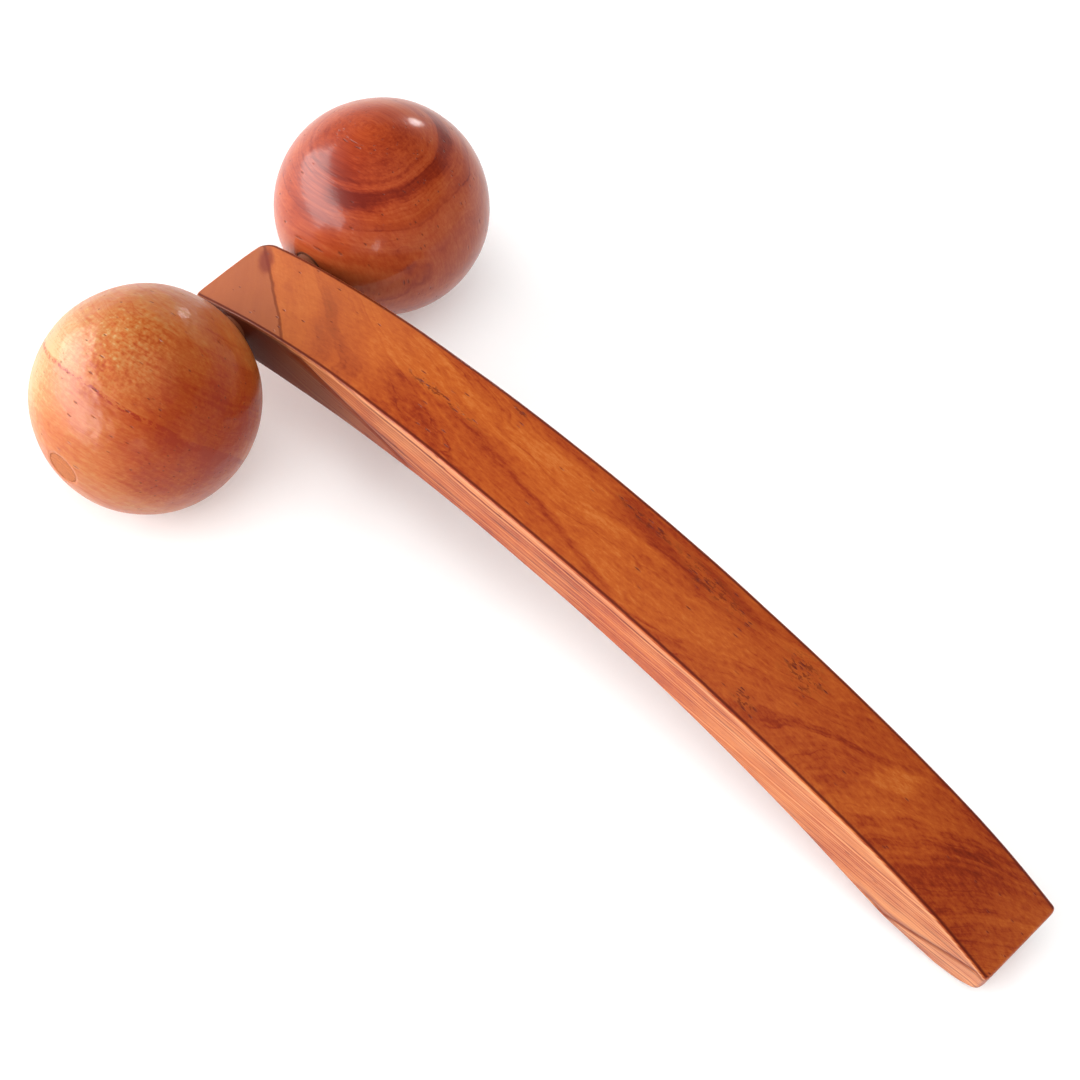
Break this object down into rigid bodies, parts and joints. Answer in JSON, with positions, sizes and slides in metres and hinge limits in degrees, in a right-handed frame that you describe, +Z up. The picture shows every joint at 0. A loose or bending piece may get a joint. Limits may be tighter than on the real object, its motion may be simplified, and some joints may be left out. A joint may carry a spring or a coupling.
{
  "type": "massage roller",
  "caption": "Hand-held wooden massage roller: an arched lacquered grip whose head carries a free-spinning ball on each side.",
  "frame": {"origin": "middle of the overall length and width, on the surface that the roller lies on", "axes": "+X from the head to the tail of the handle, +Y along the axle to the right ball, +Z up"},
  "size_m": [0.217, 0.1126, 0.045],
  "materials": {
    "handle_wood": "glossy clear lacquer over reddish-brown hardwood",
    "left_ball_wood": "glossy clear lacquer over golden-brown hardwood",
    "right_ball_wood": "glossy clear lacquer over red-brown hardwood",
    "plug_wood": "end-grain hardwood plug, close to the golden ball's tone",
    "axle_steel": "drawn steel rod",
    "fastener_steel": "zinc-plated steel",
    "bush_plastic": "red-brown moulded nylon"
  },
  "bodies": {
    "handle_body": {"handle": "handle_wood", "axle": "axle_steel", "left_spacer_washer": "bush_plastic", "right_spacer_washer": "bush_plastic", "left_end_washer": "fastener_steel", "right_end_washer": "fastener_steel", "left_end_screw": "fastener_steel", "right_end_screw": "fastener_steel"},
    "left_ball_body": {"left_ball": "left_ball_wood", "left_inner_bush": "bush_plastic", "left_outer_bush": "bush_plastic", "left_end_plug": "plug_wood"},
    "right_ball_body": {"right_ball": "right_ball_wood", "right_inner_bush": "bush_plastic", "right_outer_bush": "bush_plastic", "right_end_plug": "plug_wood"}
  },
  "joints": [
    {"name": "left_ball_spin", "type": "hinge", "parent": "handle_body", "child": "left_ball_body", "pos_m": [-0.086, -0.0342, 0.0225], "axis": [0, 1, 0], "continuous": true},
    {"name": "right_ball_spin", "type": "hinge", "parent": "handle_body", "child": "right_ball_body", "pos_m": [-0.086, 0.0342, 0.0225], "axis": [0, 1, 0], "continuous": true}
  ]
}
